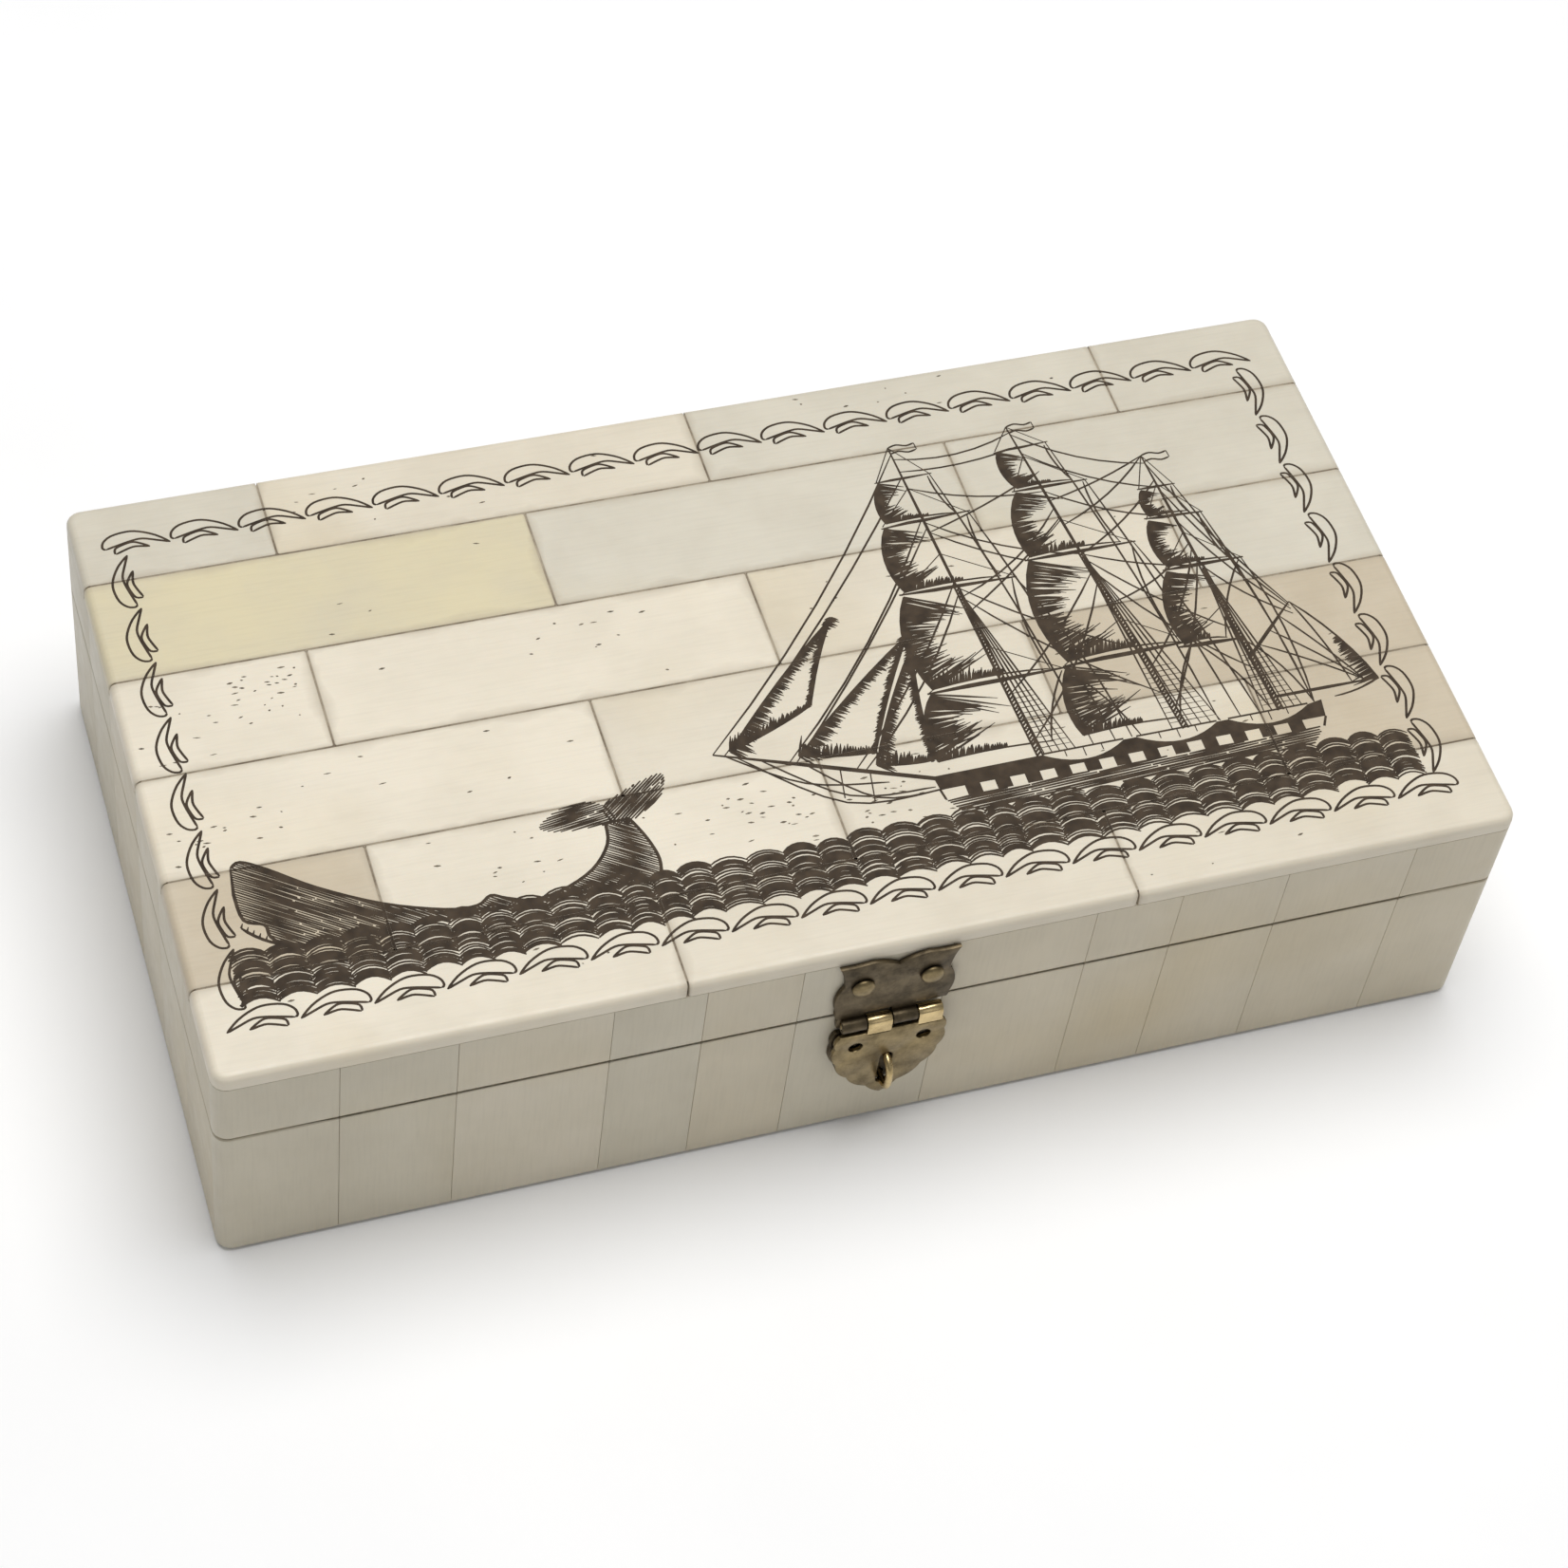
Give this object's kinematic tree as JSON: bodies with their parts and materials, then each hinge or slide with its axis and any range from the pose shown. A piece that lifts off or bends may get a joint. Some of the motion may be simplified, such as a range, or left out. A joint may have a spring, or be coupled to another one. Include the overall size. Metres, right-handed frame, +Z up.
{
  "type": "keepsake box",
  "caption": "Flat rectangular keepsake box of wooden boards covered in bone tiles, with an engraved hinged lid and a brass hasp over a staple. Hollow and empty.",
  "frame": {"origin": "on the table, under the middle of the box", "axes": "+X along the length to the right as seen from the front, the front with the hasp faces -Y, +Z up"},
  "size_m": [0.1906, 0.1091, 0.0445],
  "materials": {
    "bone": "satin",
    "wood": "matte",
    "brass": "satin",
    "bright_brass": "satin"
  },
  "bodies": {
    "box": {"base_floor_board": "wood", "base_front_board": "wood", "base_back_board": "wood", "base_left_board": "wood", "base_right_board": "wood", "base_front_bone": "bone", "base_back_bone": "bone", "base_left_bone": "bone", "base_right_bone": "bone", "catch_plate": "brass", "catch_staple": "bright_brass", "catch_nail_1": "bright_brass", "catch_nail_2": "bright_brass", "hinge_1_base_leaf": "brass", "hinge_1_base_nail_1": "bright_brass", "hinge_1_base_nail_2": "bright_brass", "hinge_2_base_leaf": "brass", "hinge_2_base_nail_1": "bright_brass", "hinge_2_base_nail_2": "bright_brass"},
    "lid": {"lid_top_board": "wood", "lid_front_board": "wood", "lid_back_board": "wood", "lid_left_board": "wood", "lid_right_board": "wood", "lid_front_bone": "bone", "lid_back_bone": "bone", "lid_left_bone": "bone", "lid_right_bone": "bone", "top_tile_1_1": "bone", "top_tile_1_2": "bone", "top_tile_1_3": "bone", "top_tile_1_4": "bone", "top_tile_2_1": "bone", "top_tile_2_2": "bone", "top_tile_2_3": "bone", "top_tile_3_1": "bone", "top_tile_3_2": "bone", "top_tile_3_3": "bone", "top_tile_3_4": "bone", "top_tile_4_1": "bone", "top_tile_4_2": "bone", "top_tile_4_3": "bone", "top_tile_5_1": "bone", "top_tile_5_2": "bone", "top_tile_5_3": "bone", "top_tile_5_4": "bone", "top_tile_6_1": "bone", "top_tile_6_2": "bone", "top_tile_6_3": "bone", "hasp_plate": "brass", "hasp_pin": "bright_brass", "hasp_nail_1": "bright_brass", "hasp_nail_2": "bright_brass", "hinge_1_lid_leaf": "brass", "hinge_1_lid_nail_1": "bright_brass", "hinge_1_lid_nail_2": "bright_brass", "hinge_2_lid_leaf": "brass", "hinge_2_lid_nail_1": "bright_brass", "hinge_2_lid_nail_2": "bright_brass"},
    "hasp": {"hasp_leaf": "brass"}
  },
  "joints": [
    {"name": "lid_hinge", "type": "hinge", "parent": "box", "child": "lid", "pos_m": [0, 0.0521, 0.0295], "axis": [-1, 0, 0], "range_deg": [0, 110]},
    {"name": "hasp_hinge", "type": "hinge", "parent": "lid", "child": "hasp", "pos_m": [0.001, -0.0521, 0.0282], "axis": [-1, 0, 0], "range_deg": [0, 150]}
  ]
}
